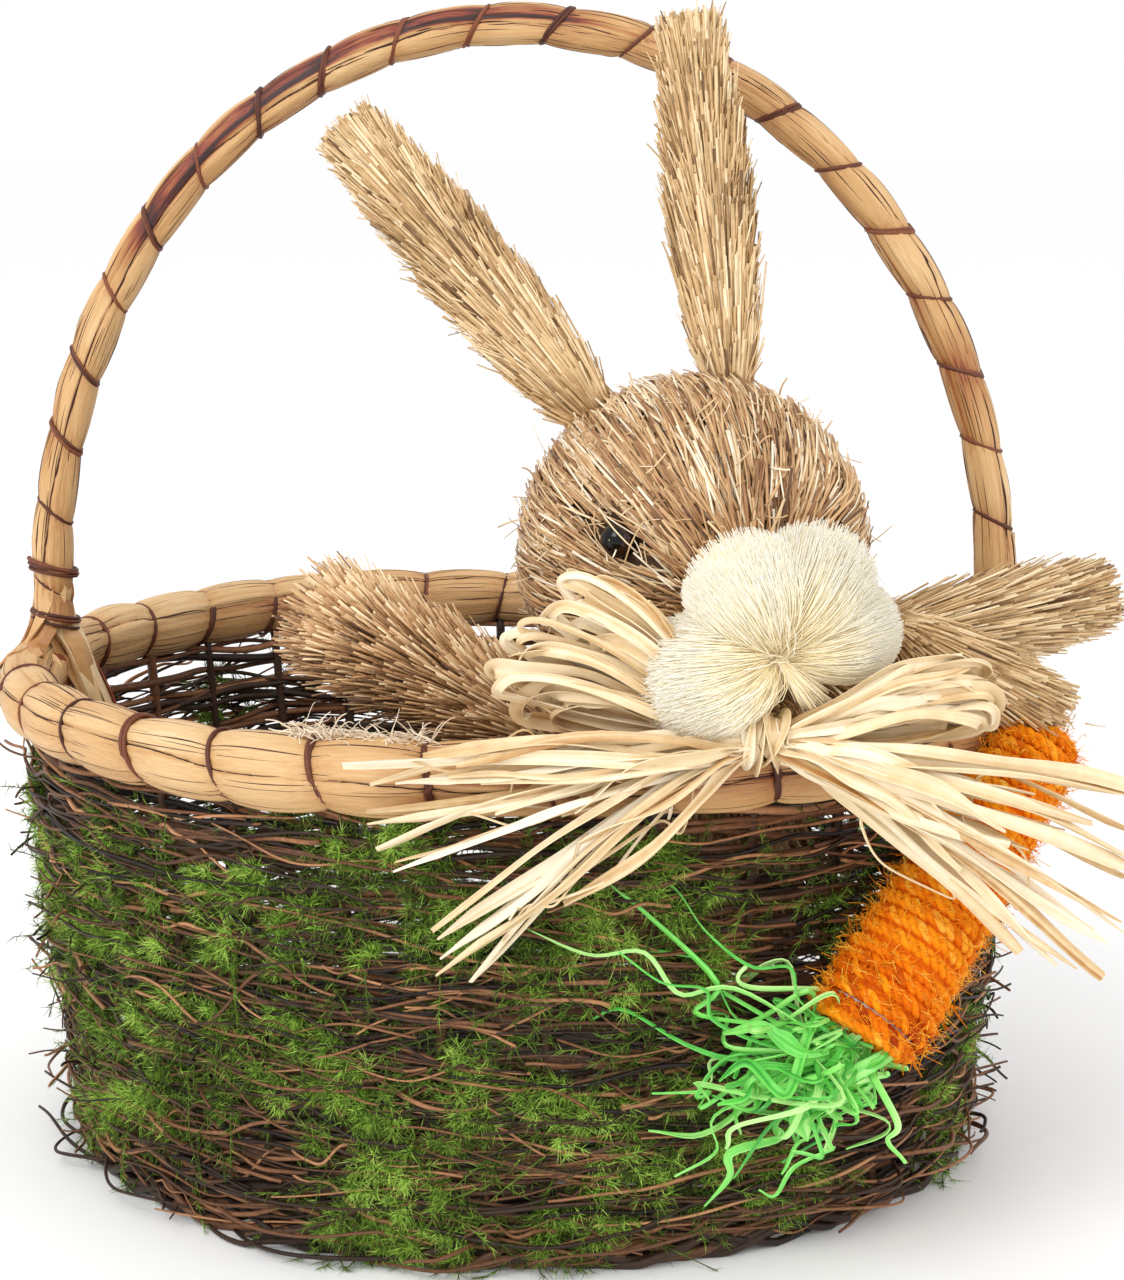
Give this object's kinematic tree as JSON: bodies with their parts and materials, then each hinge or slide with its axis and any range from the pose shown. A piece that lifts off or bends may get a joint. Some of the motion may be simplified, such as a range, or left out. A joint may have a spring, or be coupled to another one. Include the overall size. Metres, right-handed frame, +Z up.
{
  "type": "easter basket",
  "caption": "Oval woven vine basket with a bark-wrapped rim and arched handle, moss on its wall, and a straw bunny with a raffia bow holding a rope carrot over the front rim.",
  "frame": {"origin": "centre of the underside, on the ground", "axes": "+Z up, +X along the span of the handle, -Y towards the side that the bunny faces"},
  "size_m": [0.3165, 0.2489, 0.3248],
  "materials": {
    "vine": "rough",
    "moss": "matte",
    "cane": "satin",
    "bark": "matte",
    "twine": "matte",
    "straw": "matte",
    "ear_straw": "matte",
    "wood_peg": "satin",
    "foam": "matte",
    "eye_bead": "gloss",
    "wire": "satin",
    "sisal": "matte",
    "raffia": "satin",
    "jute": "matte",
    "green_raffia": "matte"
  },
  "bodies": {
    "basket": {"base_ring": "vine", "floor_weave": "vine", "wall_stakes": "vine", "wall_weave": "vine", "moss_cover": "moss", "rim_hoop": "cane", "rim_roll": "bark", "rim_binding": "twine", "handle_core": "cane", "handle_roll": "bark", "handle_binding": "twine", "handle_lashing_left": "bark", "handle_lashing_right": "bark", "bunny_body": "straw", "neck_peg": "wood_peg", "head_form": "foam", "head_coat": "straw", "eye_left": "eye_bead", "eye_right": "eye_bead", "muzzle_left": "sisal", "muzzle_top": "sisal", "muzzle_right": "sisal", "muzzle_tie": "sisal", "chin_tuft": "sisal", "arm_left": "straw", "arm_wire_left": "wire", "arm_right": "straw", "arm_wire_right": "wire", "hand_bundle_right": "straw", "neck_band": "raffia", "bow_knot": "raffia", "bow_loop_left": "raffia", "bow_loop_right": "raffia", "bow_tails_left": "raffia", "bow_tails_right": "raffia", "carrot_core": "foam", "carrot_rope": "jute", "carrot_greens": "green_raffia", "carrot_tie": "green_raffia"},
    "left_ear": {"ear_left": "ear_straw", "ear_wire_left": "wire"},
    "right_ear": {"ear_right": "ear_straw", "ear_wire_right": "wire"}
  },
  "joints": [
    {"name": "left_ear_bend", "type": "hinge", "parent": "basket", "child": "left_ear", "pos_m": [0.0225, -0.046, 0.216], "axis": [0, 1, 0], "range_deg": [-20, 20]},
    {"name": "right_ear_bend", "type": "hinge", "parent": "basket", "child": "right_ear", "pos_m": [0.058, -0.044, 0.2235], "axis": [0, 1, 0], "range_deg": [-20, 20]}
  ]
}
